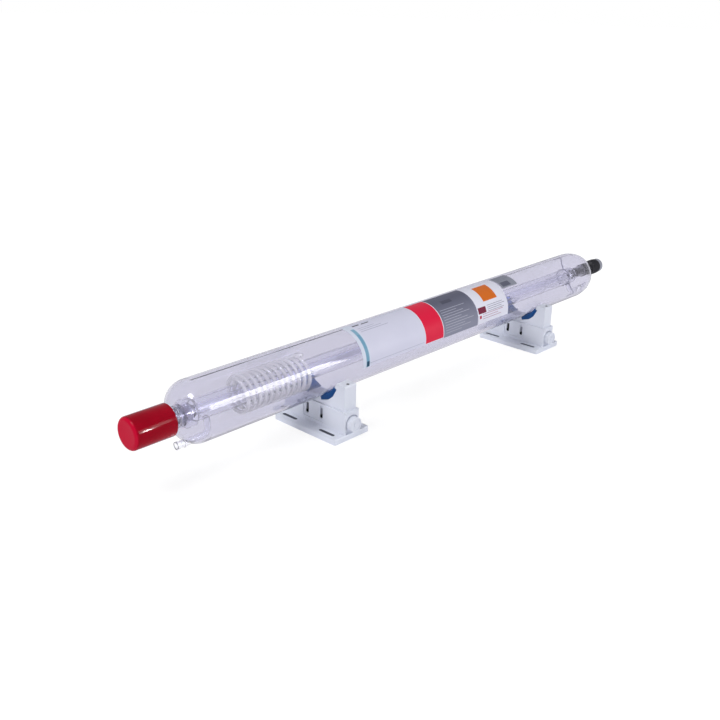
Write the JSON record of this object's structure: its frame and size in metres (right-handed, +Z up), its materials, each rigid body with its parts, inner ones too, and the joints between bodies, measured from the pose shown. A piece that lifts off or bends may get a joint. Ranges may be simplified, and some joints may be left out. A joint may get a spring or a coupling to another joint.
{
  "type": "co2 laser tube",
  "caption": "Sealed glass CO2 laser tube with inner water jacket, gas return coil, capped output head and rear mirror mount, lying on height-adjustable plastic supports.",
  "frame": {"origin": "on the underside of the near support, straight under the tube's axis", "axes": "+Z up from the bench; +Y along the tube, from the output end under the red cap to the high-voltage end; +X towards the side that the height knobs are on"},
  "size_m": [0.1256, 1.041, 0.1291],
  "materials": {
    "glass_envelope": "clear borosilicate glass, fire polished",
    "glass_inner": "clear borosilicate glass",
    "spring_steel": "stainless spring strip, bare",
    "electrode_metal": "oxidised nickel, dull dark",
    "plated_brass": "nickel-plated turned brass, satin",
    "lens_amber": "polished amber infrared lens",
    "seal_rubber": "black rubber",
    "cap_red": "glossy red soft moulding",
    "black_metal": "black anodised aluminium, satin",
    "mirror_gold": "gold-coated mirror",
    "ring_metal": "bare turned aluminium",
    "label_film": "printed vinyl film, satin",
    "label_grey": "silver-grey printed film",
    "support_plastic": "cool white injection-moulded plastic, satin",
    "wedge_plastic": "grey acetal",
    "pad_rubber": "navy rubber pad",
    "pin_steel": "zinc-plated steel"
  },
  "bodies": {
    "near_stand": {"near_base": "support_plastic"},
    "tube": {"gas_envelope": "glass_envelope", "water_jacket": "glass_inner", "discharge_tube": "glass_inner", "return_coil": "glass_inner", "jacket_clip": "spring_steel", "cathode": "electrode_metal", "cathode_lead": "electrode_metal", "anode": "electrode_metal", "anode_lead": "electrode_metal", "output_head": "plated_brass", "output_lens": "lens_amber", "lens_seal": "seal_rubber", "lens_ring": "plated_brass", "dust_cap": "cap_red", "rear_mount": "black_metal", "rear_mirror": "mirror_gold", "mirror_ring": "ring_metal", "main_label": "label_film", "notice_label": "label_film", "top_label": "label_grey", "near_cradle": "support_plastic", "near_left_pad": "pad_rubber", "near_right_pad": "pad_rubber", "near_guide_pins": "pin_steel", "far_cradle": "support_plastic", "far_left_pad": "pad_rubber", "far_right_pad": "pad_rubber", "far_guide_pins": "pin_steel"},
    "near_wedge_body": {"near_wedge": "wedge_plastic"},
    "near_screw_body": {"near_lead_screw": "pin_steel", "near_knob": "support_plastic"},
    "far_stand": {"far_base": "support_plastic"},
    "far_wedge_body": {"far_wedge": "wedge_plastic"},
    "far_screw_body": {"far_lead_screw": "pin_steel", "far_knob": "support_plastic"}
  },
  "joints": [
    {"name": "tube_lift", "type": "slide", "parent": "near_stand", "child": "tube", "axis": [0, 0, 1], "range_m": [0, 0.012]},
    {"name": "far_stand_lift", "type": "slide", "parent": "tube", "child": "far_stand", "axis": [0, 0, -1], "range_m": [0, 0.012]},
    {"name": "near_wedge_slide", "type": "slide", "parent": "near_stand", "child": "near_wedge_body", "axis": [-1, 0, 0], "range_m": [0, 0.024]},
    {"name": "far_wedge_slide", "type": "slide", "parent": "far_stand", "child": "far_wedge_body", "axis": [-1, 0, 0], "range_m": [0, 0.024]},
    {"name": "near_knob_turn", "type": "hinge", "parent": "near_stand", "child": "near_screw_body", "pos_m": [0.057, 0, 0.022], "axis": [1, 0, 0], "range_deg": [0, 1080]},
    {"name": "far_knob_turn", "type": "hinge", "parent": "far_stand", "child": "far_screw_body", "pos_m": [0.057, 0.481, 0.022], "axis": [1, 0, 0], "range_deg": [0, 1080]}
  ],
  "couplings": [
    {"joint": "far_stand_lift", "follows": "tube_lift", "ratio": 1},
    {"joint": "near_wedge_slide", "follows": "tube_lift", "ratio": 2},
    {"joint": "far_wedge_slide", "follows": "tube_lift", "ratio": 2},
    {"joint": "near_knob_turn", "follows": "tube_lift", "rad_per_m": 1570.8},
    {"joint": "far_knob_turn", "follows": "tube_lift", "rad_per_m": 1570.8}
  ]
}
